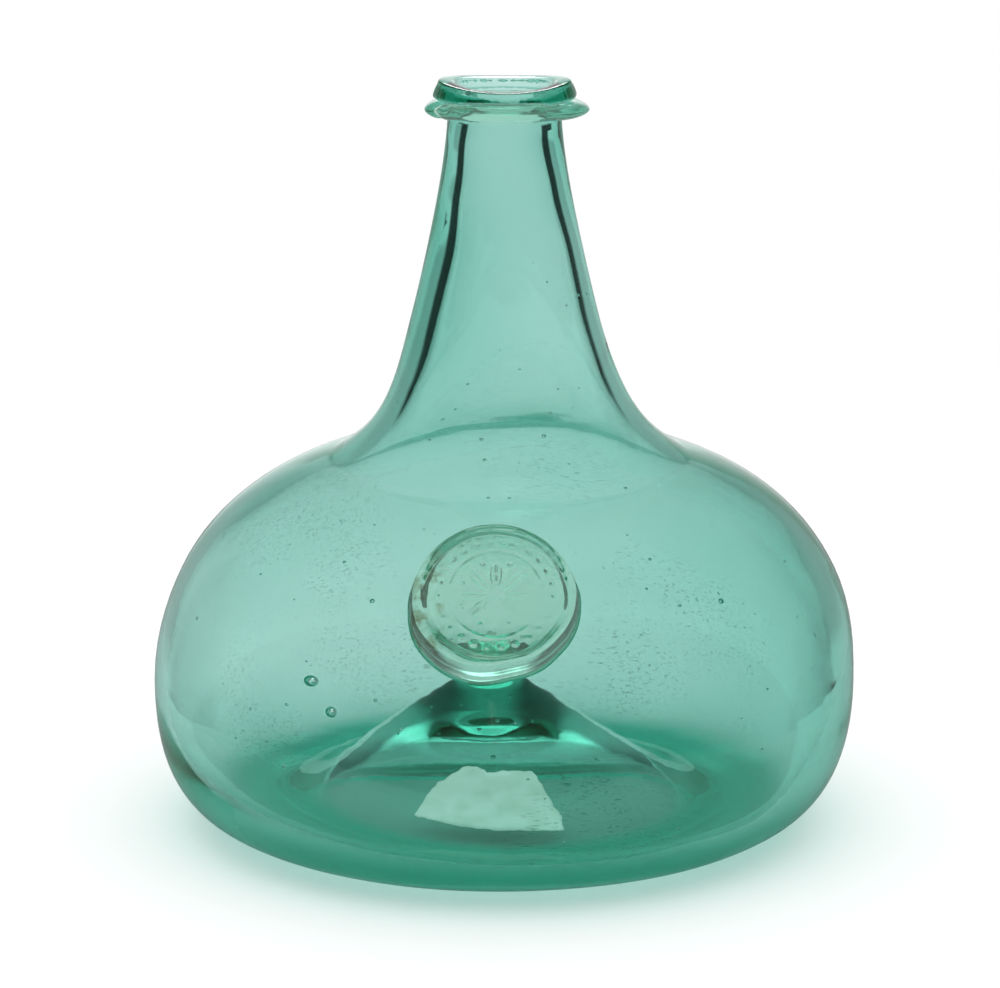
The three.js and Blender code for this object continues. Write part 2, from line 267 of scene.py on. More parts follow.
def bodyOutline():
    b = body
    girth = (b["bowlRadius"], b["girth"])
    shoulder, waist, neckTop = b["shoulder"], b["waist"], b["neckTop"]
    slope, reach, fullness = b["heelOutside"]
    heel = outline((b["rest"][1], 0), slope, reach, girth, 90, fullness * b["girth"], 26)
    rise = shoulder[1] - b["girth"]
    leave, arrive = b["bowlReach"]
    bowl = outline(girth, 90, leave * rise, shoulder, 180 - b["shoulderSlope"], arrive * rise, 30)
    flareRise = waist[1] - shoulder[1]
    leave, arrive = b["flareReach"]
    flare = outline(shoulder, 180 - b["shoulderSlope"], leave * flareRise,
                    waist, 180 - b["waistSlope"], arrive * flareRise, 22)
    neckRise = neckTop[1] - waist[1]
    leave, arrive = b["neckReach"]
    neck = outline(waist, 180 - b["waistSlope"], leave * neckRise,
                   neckTop, 180 - b["neckTopSlope"], arrive * neckRise, 26)
    foot = b["rest"][0]
    leave, arrive = b["underReach"]
    underside = outline((0, b["crownUnder"]), 0, leave * foot,
                        (foot, 0), -b["footSlope"], arrive * foot, 30)
    walls = b["walls"]
    inside = joined(
        wallOf(neck, walls["waist"], walls["neck"])[::-1],
        wallOf(flare, walls["shoulder"], walls["waist"])[::-1],
        wallOf(bowl, walls["bowl"], walls["shoulder"])[::-1],
    )
    seat = (neckTop[0], b["lipUnderside"])
    edge, crest, throat, bore = b["lipEdge"], b["crest"], b["throat"], (inside[0].x, inside[0].z)
    # each stretch: its start, heading and reach, its end, heading and reach, and its steps
    lip = joined(
        outline(seat, 0, 1.5, edge, 90, 0.4, 5),
        outline(edge, 88, 0.6, b["lipShoulder"], b["lipFace"], 0.8, 7),
        outline(b["lipShoulder"], b["lipFace"], 0.35, crest, 180, 0.5, 5),
        outline(crest, 180, 0.7, b["innerEdge"], 205, 0.6, 4),
        outline(b["innerEdge"], 205, 0.8, throat, 180 + b["throatSlope"], 0.8, 6),
        outline(throat, 180 + b["throatSlope"], 2, bore, 270, 2, b["boreSteps"]),
    )
    trough = b["trough"]
    start = (inside[-1].x, inside[-1].z)
    leave, arrive = b["kickReach"]
    floor = joined(
        outline(start, 270, b["heelInside"][0] * (start[1] - trough[1]),
                trough, 180, b["heelInside"][1] * (start[0] - trough[0]), 24),
        outline(trough, 180, leave * trough[0],
                b["crownEdge"], 180 - b["kickSlope"], arrive * trough[0], 22),
        outline(b["crownEdge"], 180 - b["kickSlope"], 3.5, (0, b["kick"]), 180, 4, 8),
    )
    outside = joined(heel, bowl, flare, neck)
    return underside + outside + lip, inside[1:] + floor[1:]


def shapeBody(bm, insideLayer):
    # moves every point by the lean, the uneven wall, the skewed kick and the waves of blown glass
    for vert in bm.verts:
        x, y, z = vert.co / mm
        inner = vert[insideLayer]
        inKick = math.hypot(x, y) < body["rest"][1] and z < body["kick"] + 1
        kick = smooth(0, 1, z / body["kick"]) if inKick else 0
        shift = along(body["lean"], z) * (1 - kick)
        shift += inner * along(body["insideShift"], z) * (1 - kick)
        shift += kick * body["apexShift"]
        size, height = body["insideWave"] if inner > 0.5 else body["outsideWave"]
        wave = noise.noise(Vector((x, y, z + 40 * inner)) / size) * height * smooth(0, body["waveRise"], z)
        turn = math.atan2(y, x)
        if z > body["lipUnderside"]:
            spacing, depth = body["flutes"]
            ribs = noise.noise(Vector((math.cos(turn), math.sin(turn), 0)) * body["lipEdge"][0] / spacing)
            wave += (depth * ribs * smooth(*body["fluteRise"], z) * smooth(*body["fluteFall"], z)
                     * smooth(*body["fluteOut"], math.hypot(x, y)))
        z += body["lipSaddle"] * (0.4 + math.cos(2 * turn)) * smooth(*body["saddleRise"], z)
        out = vert.normal * wave
        vert.co = Vector((x + shift, y, z)) * mm + out * mm


def blowBody():
    bm = bmesh.new()
    insideLayer = bm.verts.layers.float.new("inside")
    outer, inner = bodyOutline()
    verts = []
    for p in outer + inner:
        vert = bm.verts.new(p * mm)
        vert[insideLayer] = 0 if len(verts) < len(outer) - body["boreSteps"] else 1
        verts.append(vert)
    edges = [bm.edges.new(pair) for pair in zip(verts, verts[1:])]
    bmesh.ops.spin(bm, geom=verts + edges, cent=(0, 0, 0), axis=(0, 0, 1), angle=math.tau,
                   steps=body["around"], use_merge=True)
    bmesh.ops.remove_doubles(bm, verts=bm.verts, dist=0.001 * mm)
    bmesh.ops.recalc_face_normals(bm, faces=bm.faces)
    bm.normal_update()
    shapeBody(bm, insideLayer)
    return bm


bodyMesh = blowBody()
bodyTree = BVHTree.FromBMesh(bodyMesh)


def wallAt(turn, height):  # where a level ray from outside meets the glass, and the way that faces
    away = Vector((math.cos(turn), math.sin(turn), 0))
    return bodyTree.ray_cast(away * 200 * mm + Vector((0, 0, height * mm)), -away)[:2]


def floorAt(x, y):  # the same from inside the bowl downwards
    return bodyTree.ray_cast(Vector((x, y, 45)) * mm, Vector((0, 0, -1)))[:2]


# Seeds: air bubbles shut in the wall, a few of them big, drawn out along the way the glass was turned

seeds = {
    "count": 110, "heights": (4, 150, 35), "sizes": (0.1, 0.32), "stretch": (1, 2.2), "depth": (0.7, 2.6),
    "divisions": 2, "flatness": 0.75,
    # the ones that stand out: turn, height and half-length
    "marked": [
        (237, 47, 1.9), (241.5, 41.5, 1.3), (245, 63.3, 0.5), (235.5, 69, 0.35), (310.5, 80, 0.4),
        (262, 86, 0.35), (265, 80, 0.3), (271.5, 80, 0.3), (312, 61, 0.6), (249, 45, 0.35),
        (301, 70, 0.35), (288, 90, 0.4),
    ],
    "markedDepth": 1.8, "markedWidth": 1.2, "leastStretch": 1.2,
    # and in the kick's slope: place from above and half-length
    "inKick": [(-15, -5.5, 0.5), (-5, -16, 0.45), (-1, -14, 0.55), (-2, -22, 0.5), (13, -24, 0.4),
               (-22, -8, 0.4), (7, -12, 0.35), (-9, -9, 0.3), (20, -14, 0.35), (2, -8, 0.3), (-13, -26, 0.3)],
    "kickDepth": 1.2,
}


def addSeed(bm, middle, facing, size, stretch):  # lies along the wall
    lengthwise = Vector((0, 0, 1)).cross(facing)
    lengthwise = lengthwise.normalized() if lengthwise.length > 0.1 else Vector((1, 0, 0))
    frameOf = Matrix((lengthwise, facing.cross(lengthwise), facing)).transposed().to_4x4()
    squeeze = Matrix.Diagonal((stretch, 1, seeds["flatness"], 1))
    bmesh.ops.create_icosphere(bm, subdivisions=seeds["divisions"], radius=size * mm,
                               matrix=Matrix.Translation(middle) @ frameOf @ squeeze)


def blowSeeds(wallMesh):
    random.seed(17)
    bm = bmesh.new()
    for _ in range(seeds["count"]):
        turn, height = random.uniform(0, math.tau), random.triangular(*seeds["heights"])
        size, depth = random.uniform(*seeds["sizes"]), random.uniform(*seeds["depth"])
        stretch = random.uniform(*seeds["stretch"])
        hit, facing = wallAt(turn, height)
        addSeed(bm, hit - facing * depth * mm, facing, size, stretch)
    for turn, height, size in seeds["marked"]:
        hit, facing = wallAt(math.radians(turn), height)
        width = min(size, seeds["markedWidth"])
        stretch = max(size / seeds["markedWidth"], seeds["leastStretch"])
        addSeed(bm, hit - facing * seeds["markedDepth"] * mm, facing, width, stretch)
    for x, y, size in seeds["inKick"]:
        hit, facing = floorAt(x, y)
        addSeed(bm, hit - facing * seeds["kickDepth"] * mm, facing, size, seeds["leastStretch"])
    bmesh.ops.reverse_faces(bm, faces=bm.faces)  # hollows in the glass
    hollows = bpy.data.meshes.new("seeds")
    bm.to_mesh(hollows)
    bm.free()
    wallMesh.from_mesh(hollows)
    bpy.data.meshes.remove(hollows)


blowSeeds(bodyMesh)
bodyPiece = toPiece(bodyMesh, "blown_body", replaces="glass_body", material=bodyGlass)
print("body blown:", len(bodyPiece.data.polygons), "faces")


# String rim

string = {
    "seat": 11.7, "reach": 17.3, "swell": 0.6, "height": 153.8, "thickness": 4.4,
    "start": 196, "turns": 372, "stepsPerTurn": 150, "sectionPoints": 18,
    # higher at the front, tapered at both ends, and thicker at the neck than at its edge
    "frontRise": 1.1, "taper": 0.05, "thinEnd": 0.25, "section": (0.82, 0.26),
}


def windString():
    bm = bmesh.new()
    count = int(string["stepsPerTurn"] * string["turns"] / 360)
    for step in range(count + 1):
        share = step / count
        turn = math.radians(string["start"] + string["turns"] * share)
        ends = min(smooth(0, string["taper"], share), smooth(1, 1 - string["taper"], share))
        size = string["thinEnd"] + (1 - string["thinEnd"]) * ends
        edge = string["reach"] + string["swell"] * math.cos(turn)
        middle = (string["seat"] + edge) / 2
        reach = (edge - string["seat"]) / 2
        height = string["height"] + string["frontRise"] * max(-math.sin(turn), 0)
        points = []
        for j in range(string["sectionPoints"]):
            a = math.tau * j / string["sectionPoints"]
            half = string["thickness"] / 2 * (string["section"][0] - string["section"][1] * math.cos(a))
            radius = middle + reach * math.cos(a) * size
            rise = height + half * size * math.sin(a)
            points.append(Vector((radius * math.cos(turn), radius * math.sin(turn), rise)) * mm)
        if step == 0:
            ring = [bm.verts.new(p) for p in points]
            edges = [bm.edges.new((ring[j], ring[(j + 1) % len(ring)])) for j in range(len(ring))]
            bmesh.ops.contextual_create(bm, geom=edges)
        else:
            grown = bmesh.ops.extrude_edge_only(bm, edges=edges)["geom"]
            new = {g for g in grown if isinstance(g, bmesh.types.BMVert)}
            follow = {}
            for vert in ring:
                for e in vert.link_edges:
                    other = e.other_vert(vert)
                    if other in new:
                        follow[vert] = other
            ring = [follow[v] for v in ring]
            for vert, p in zip(ring, points):
                vert.co = p
            edges = [bm.edges.get((ring[j], ring[(j + 1) % len(ring)])) for j in range(len(ring))]
    bmesh.ops.contextual_create(bm, geom=edges)
    bmesh.ops.recalc_face_normals(bm, faces=bm.faces)
    return bm


toPiece(windString(), "wound_string", replaces="string_rim", material=trailGlass)
print("string wound")


# Seal

seal = {
    "turn": 268, "height": 64, "tilt": 41, "sunk": 0.3, "smoothing": 8,
    "radius": 17.1, "field": 13.6, "fieldOffset": (0.5, 0.9),
    # the pad isn't round: amount and turn of its oval and of its three corners, amount and rate of waves
    "oval": (0.35, 0.6), "corners": (0.28, 1), "wavy": (0.35, 2.2),
    "fieldHeight": 1.9, "rimHeight": 2.9, "brow": 1.3, "browTurn": 1.9, "rimWave": (0.12, 3),
    # share of the way from the field's edge to the pad's edge, and height there
    "rim": [(0.08, 0.2), (0.16, 0.45), (0.24, 0.7), (0.31, 0.9), (0.38, 1), (0.48, 0.97), (0.6, 0.85),
            (0.74, 0.6), (0.87, 0.25), (0.97, -0.25)],
    "steps": 240, "fieldRings": 54, "underRings": 12,
    "beads": 26, "beadRing": 11.7, "beadSize": 0.66, "beadHeight": 0.2,
    "lineRing": 9.7, "lineWidth": 0.26, "lineHeight": 0.16,
    "petals": 8, "petalMiddle": 4.5, "petalReach": 2.9, "petalHalf": 1.15, "petalHeight": 0.24,
    "vein": (0.18, 0.2), "pelletRing": 7.3, "pelletSize": 0.55, "pelletHeight": 0.2,
    "boss": 1.35, "bossHeight": 0.34,
    "faint": 0.55, "faintPatch": 6, "grain": (0.07, 1.6),
}


def dome(distance, size, height):
    return height * math.sqrt(max(0, 1 - (distance / size) ** 2))


def reliefAt(x, y):
    # beaded ring, fine line, pellets and a plain rosette, softened where the glass had chilled
    reach, turn = math.hypot(x, y), math.atan2(y, x)
    bead = math.tau / seal["beads"]
    off = (turn + bead / 2) % bead - bead / 2
    height = dome(math.hypot(reach - seal["beadRing"], reach * off), seal["beadSize"], seal["beadHeight"])
    height += seal["lineHeight"] * math.exp(-((reach - seal["lineRing"]) / seal["lineWidth"]) ** 2)
    petal = math.tau / seal["petals"]
    off = (turn + petal / 2) % petal - petal / 2
    lengthwise, across = reach * math.cos(off) - seal["petalMiddle"], reach * math.sin(off)
    blade = math.hypot(lengthwise / seal["petalReach"], across / seal["petalHalf"])
    veinDepth, veinWidth = seal["vein"]
    vein = veinDepth * math.exp(-(across / veinWidth) ** 2) if blade < 1 else 0
    height = max(height, dome(blade, 1, seal["petalHeight"]) - vein)
    off = turn % petal - petal / 2
    pellet = math.hypot(reach * math.cos(off) - seal["pelletRing"], reach * math.sin(off))
    height = max(height, dome(pellet, seal["pelletSize"], seal["pelletHeight"]))
    height = max(height, dome(reach, seal["boss"], seal["bossHeight"]))
    faint = seal["faint"]
    strike = faint + (1 - faint) * smooth(-0.25, 0.35, noise.noise(Vector((x, y, 3)) / seal["faintPatch"]))
    grain, size = seal["grain"]
    return height * strike + grain * noise.noise(Vector((x, y, 9)) / size)


def sealFrame():
    turn, tilt = math.radians(seal["turn"]), math.radians(seal["tilt"])
    away = Vector((math.cos(turn), math.sin(turn), 0))
    hit = wallAt(turn, seal["height"])[0]
    facing = away * math.cos(tilt) + Vector((0, 0, math.sin(tilt)))
    right = Vector((0, 0, 1)).cross(away)
    frameOf = Matrix((right, facing.cross(right), facing)).transposed().to_4x4()
    return Matrix.Translation(hit) @ frameOf, facing


def pressSeal():
    s = seal
    place, facing = sealFrame()
    fieldRings = [s["field"] * i / s["fieldRings"] for i in range(s["fieldRings"] + 1)]
    bm = bmesh.new()
    ring = bm.verts.layers.int.new("ring")
    last = len(fieldRings) + len(s["rim"])
    total = last + s["underRings"]
    line = []
    for i in range(total):
        reach = (i + 0.001) if i < last else (total - i - 0.999)
        vert = bm.verts.new((reach * mm, 0, (0 if i < last else -5) * mm))
        vert[ring] = i
        line.append(vert)
    edges = [bm.edges.new(pair) for pair in zip(line, line[1:])]
    bmesh.ops.spin(bm, geom=line + edges, cent=(0, 0, 0), axis=(0, 0, 1), angle=math.tau,
                   steps=s["steps"], use_merge=True)
    for vert in bm.verts:
        turn = math.atan2(vert.co.y, vert.co.x)
        i = vert[ring]
        edge = s["radius"] + s["oval"][0] * math.cos(2 * turn - s["oval"][1])
        edge += s["corners"][0] * math.cos(3 * turn + s["corners"][1])
        edge += s["wavy"][0] * noise.noise(Vector((math.cos(turn), math.sin(turn), 0)) * s["wavy"][1])
        towardOffset = s["fieldOffset"][0] * math.cos(turn) + s["fieldOffset"][1] * math.sin(turn)
        inner = s["field"] + towardOffset
        brow = s["brow"] * (0.6 + 0.4 * math.cos(turn + s["browTurn"])) - 0.5  # higher on one side
        if i < len(fieldRings):
            x, y = fieldRings[i] * math.cos(turn), fieldRings[i] * math.sin(turn)
            height = s["fieldHeight"] + reliefAt(x, y)
            point = Vector((x + s["fieldOffset"][0], y + s["fieldOffset"][1], height))
        elif i < last:
            share, lift = s["rim"][i - len(fieldRings)]
            reach = inner + (edge - inner) * share
            top = s["rimHeight"] + 0.35 * brow
            if lift >= 0.5 or share < 0.5:
                height = s["fieldHeight"] + (top - s["fieldHeight"]) * lift
            else:
                height = lift * top
            spot = Vector((reach * math.cos(turn), reach * math.sin(turn), 5))
            height += s["rimWave"][0] * noise.noise(spot / s["rimWave"][1])
            point = Vector((spot.x, spot.y, height))
        else:
            share = (total - 1 - i) / (s["underRings"] - 1)
            reach = edge * share
            point = Vector((reach * math.cos(turn), reach * math.sin(turn), 0))
        point = place @ (point * mm)
        if i >= last - 1:
            hit = bodyTree.ray_cast(point + facing * 12 * mm, -facing)[0]
            point = hit - facing * s["sunk"] * mm
        vert.co = point
    bmesh.ops.remove_doubles(bm, verts=bm.verts, dist=0.002 * mm)
    # the body's facets are smoothed out of the face that lies on it
    under = [vert for vert in bm.verts if vert[ring] > last]
    for _ in range(s["smoothing"]):
        bmesh.ops.smooth_vert(bm, verts=under, factor=0.5, use_axis_x=True, use_axis_y=True, use_axis_z=True)
    bmesh.ops.recalc_face_normals(bm, faces=bm.faces)
    return bm


sealPiece = toPiece(pressSeal(), "pressed_seal", replaces="seal", material=sealGlass)
print("seal pressed:", len(sealPiece.data.polygons), "faces")


# Pontil scar

scar = {
    "radius": 9, "width": 2.6, "height": 0.35, "gap": 0.03, "bulge": 0.05, "around": 120, "section": 14,
    "uneven": (0.06, 3), "chipped": (0.7, 2.2),  # amount and spacing
}


def breakScar():
    # a ring of glass torn off the rod: chipped edges and a hackly underside
    bm = bmesh.new()
    line = []
    for j in range(scar["section"]):
        a = math.tau * j / scar["section"]
        radius = scar["radius"] + scar["width"] / 2 * math.cos(a)
        line.append(bm.verts.new((radius * mm, 0, math.sin(a) * mm)))
    edges = [bm.edges.new((line[j], line[(j + 1) % len(line)])) for j in range(len(line))]
    bmesh.ops.spin(bm, geom=line + edges, cent=(0, 0, 0), axis=(0, 0, 1), angle=math.tau,
                   steps=scar["around"], use_merge=True)
    for vert in bm.verts:
        x, y = vert.co.x / mm, vert.co.y / mm
        level = vert.co.z / mm
        chip = scar["chipped"][0] * noise.noise(Vector((x, y, 0)) / scar["chipped"][1])
        reach = 1 + scar["uneven"][0] * noise.noise(Vector((x, y, 7)) / scar["uneven"][1])
        x, y = x * reach + body["apexShift"], y * reach
        ceiling = bodyTree.ray_cast(Vector((x, y, -20)) * mm, Vector((0, 0, 1)))[0].z
        if level > 0:
            height = ceiling - (scar["gap"] + scar["bulge"] * (1 - level)) * mm
        else:
            height = ceiling - (scar["gap"] + scar["bulge"] - scar["height"] * level * (1 + chip)) * mm
        vert.co = (x * mm, y * mm, height)
    bmesh.ops.recalc_face_normals(bm, faces=bm.faces)
    return bm


toPiece(breakScar(), "broken_pontil_scar", replaces="pontil_scar", material=bodyGlass)
print("scar broken")


# Pale flake lying inside, on the front of the kick

flake = {
    "middle": (-3.1, -32), "thickness": 0.14, "lift": 0.04, "cuts": 9, "ragged": (0.35, 1.3),
    "cloudSize": 4, "tones": [(0.3, "#e9f0e4"), (0.65, "#fdfef8")],
    # across and towards the front, from the middle
    "edge": [(-15.3, 1.8), (-12.8, -3.2), (-10.5, -5.4), (-5.4, -7.9), (-2.3, -7.5), (-0.2, -6.1),
             (4.3, -6.8), (9.5, -7.3), (10.9, -5.4), (12.8, -1.8), (15.5, 3), (15.9, 7.4), (8.9, 8.4),
             (2.4, 8.8), (-3.1, 7.6), (-7.4, 6.2), (-10.9, 4.4)],
}


def paleFlakeMaterial():
    # matt, in two soft pale tones
    material = bpy.data.materials.new("pale_matt_flake")
    material.use_nodes = True
    tree = material.node_tree
    tree.nodes.clear()
    place = addNode(tree, "ShaderNodeTexCoord").outputs["Object"]
    clouds = addNode(tree, "ShaderNodeTexNoise", {
        "Vector": place, "Scale": 1 / (flake["cloudSize"] * mm), "Detail": 5.0})
    tone = addNode(tree, "ShaderNodeValToRGB", {"Fac": clouds.outputs["Fac"]})
    for stop, (position, colour) in zip(tone.color_ramp.elements, flake["tones"]):
        stop.position = position
        stop.color = linear(colour)
    shader = addNode(tree, "ShaderNodeBsdfPrincipled", {
        "Base Color": tone.outputs["Color"], "Roughness": 0.9, "Specular IOR Level": 0.2})
    addNode(tree, "ShaderNodeOutputMaterial", {"Surface": shader.outputs["BSDF"]})
    return material


def layFlake():
    bm = bmesh.new()
    middle = flake["middle"]
    corners = [bm.verts.new((middle[0] + x, middle[1] - y, 0)) for x, y in flake["edge"]]
    bmesh.ops.contextual_create(bm, geom=corners)
    bmesh.ops.triangulate(bm, faces=bm.faces)
    bmesh.ops.subdivide_edges(bm, edges=bm.edges, cuts=flake["cuts"], use_grid_fill=True)
    for vert in bm.verts:
        spot = Vector((vert.co.x, vert.co.y, 0))
        if vert.is_boundary:
            amount, size = flake["ragged"]
            spot.x += amount * noise.noise(spot / size)
            spot.y += amount * noise.noise(spot / size + Vector((9, 0, 0)))
        vert.co = floorAt(spot.x, spot.y)[0] + Vector((0, 0, flake["lift"] * mm))
    grown = bmesh.ops.extrude_face_region(bm, geom=bm.faces)["geom"]
    lifted = [g for g in grown if isinstance(g, bmesh.types.BMVert)]
    bmesh.ops.translate(bm, verts=lifted, vec=(0, 0, flake["thickness"] * mm))
    bmesh.ops.recalc_face_normals(bm, faces=bm.faces)
    return bm


toPiece(layFlake(), "pale_flake", material=paleFlakeMaterial())
print("flake laid")


# Table, studio and camera

studio = {
    "table": {"halfWidth": 155, "front": -115, "back": 500, "corner": 40, "cornerSteps": 12},
    "tableColour": "#eeeeee", "liftSeen": 0.17, "liftInGlass": 0.06,
    "outside": 0.5,  # rays that have passed fewer faces than this haven't entered the glass
    # on the table: painted shade under the kick and a painted green shadow round the foot, out to these radii
    "shade": (36, 47), "paintedShadeColour": "#b4c8c2", "foot": (54, 74), "paintedGreenShadowColour": "#5cd2c2",
    # a dim grey painted on the table where the bottle's outer face mirrors it: a painted reflection
    "paintedReflectionColour": "#8c8c8c",
    # light that falls on the table, from level and from overhead, and the levels it rises between
    "sky": (0.28, 1.78), "skyRise": (0.45, 0.92),
    # what rays in the glass find: turns are degrees from straight behind, levels are sines of height
    "boxStrength": 3.4, "boxRise": (0.35, 0.41), "boxFall": (0.5, 0.68), "boxHigh": 0.56,
    "boxTurn": (4, 16), "boxBeside": 0.16,
    "dark": 0.03, "darkFrom": (17, 37), "darkLevel": (-0.265, -0.225), "darkFade": 9, "darkPast": (63, 72),
    "steep": (0.3, 0.55), "paperTurn": (8, 18), "paperSides": 0.62, "paperLevel": (-0.2, -0.12),
    "front": 0.12, "frontFrom": (70, 100), "inside": 0.2, "freed": 0.85,
    # what the outer face of the glass mirrors
    "mirrorTurn": (3, 18), "mirrorSides": 0.38, "mirrorFar": (30, 75), "mirrorLevel": (0.05, 0.35),
    "mirrorRoom": 0.35,
    "glint": 6, "glintLow": (0.3, 0.4), "glintHigh": (0.64, 0.72), "glintTurn": (8, 15),
}


def makeTable():
    size = studio["table"]
    bm = bmesh.new()
    bmesh.ops.create_grid(bm, x_segments=1, y_segments=1, size=1)
    bmesh.ops.scale(bm, vec=(size["halfWidth"] * mm, (size["back"] - size["front"]) / 2 * mm, 1),
                    verts=bm.verts)
    bmesh.ops.translate(bm, vec=(0, (size["back"] + size["front"]) / 2 * mm, 0), verts=bm.verts)
    bmesh.ops.bevel(bm, geom=bm.verts, affect="VERTICES", offset=size["corner"] * mm,
                    segments=size["cornerSteps"], profile=0.5, material=-1)
    mesh = bpy.data.meshes.new("table")
    bm.to_mesh(mesh)
    bm.free()
    table = bpy.data.objects.new("table", mesh)
    scene.collection.objects.link(table)
    # matt white laminate, lifted to plain white where the camera or the glass looks at it, with shade
    # painted under the kick, a painted green shadow round the foot and a painted dim reflection
    material = bpy.data.materials.new("matt_white_laminate")
    material.use_nodes = True
    tree = material.node_tree
    tree.nodes.clear()
    maths, ramp, mix = "ShaderNodeMath", "ShaderNodeMapRange", "ShaderNodeMix"
    path = addNode(tree, "ShaderNodeLightPath").outputs
    inGlass = addNode(tree, maths, {
        0: path["Is Glossy Ray"], 1: path["Is Transmission Ray"]}, operation="MAXIMUM").outputs[0]
    lift = addNode(tree, maths, {0: inGlass, 1: studio["liftInGlass"]}, operation="MULTIPLY").outputs[0]
    lift = addNode(tree, maths, {
        0: path["Is Camera Ray"], 1: studio["liftSeen"], 2: lift}, operation="MULTIPLY_ADD").outputs[0]

    place = addNode(tree, "ShaderNodeTexCoord").outputs["Object"]
    reach = addNode(tree, "ShaderNodeVectorMath", {0: place}, operation="LENGTH").outputs["Value"]
    colour = linear(studio["tableColour"])
    # painted shade under the kick, seen by all rays; only rays through the glass see the painted green shadow
    # round its foot
    for band, tone in (("foot", "paintedGreenShadowColour"), ("shade", "paintedShadeColour")):
        paintedMask = addNode(tree, ramp, {
            "Value": reach, "From Min": studio[band][0] * mm, "From Max": studio[band][1] * mm,
            "To Min": 1.0, "To Max": 0.0}, interpolation_type="SMOOTHSTEP").outputs["Result"]
        if band == "foot":
            paintedMask = addNode(tree, maths, {
                0: paintedMask, 1: path["Is Transmission Ray"]}, operation="MULTIPLY").outputs[0]
        colour = addNode(tree, mix, {
            0: paintedMask, 6: colour, 7: linear(studio[tone])}, data_type="RGBA").outputs[2]
    # painted reflection: the bottle's outer face mirrors the table in a dim grey painted in for it
    outerMirror = addNode(tree, maths, {
        0: path["Transmission Depth"], 1: studio["outside"]}, operation="LESS_THAN").outputs[0]
    outerMirror = addNode(tree, maths, {
        0: outerMirror, 1: path["Is Glossy Ray"]}, operation="MULTIPLY").outputs[0]
    colour = addNode(tree, mix, {
        0: outerMirror, 6: colour, 7: linear(studio["paintedReflectionColour"])}, data_type="RGBA").outputs[2]
    shader = addNode(tree, "ShaderNodeBsdfPrincipled", {
        "Base Color": colour, "Roughness": 0.9, "Specular IOR Level": 0.0,
        "Emission Color": colour, "Emission Strength": lift})
    addNode(tree, "ShaderNodeOutputMaterial", {"Surface": shader.outputs["BSDF"]})
    material.cycles.emission_sampling = "NONE"
    mesh.materials.append(material)


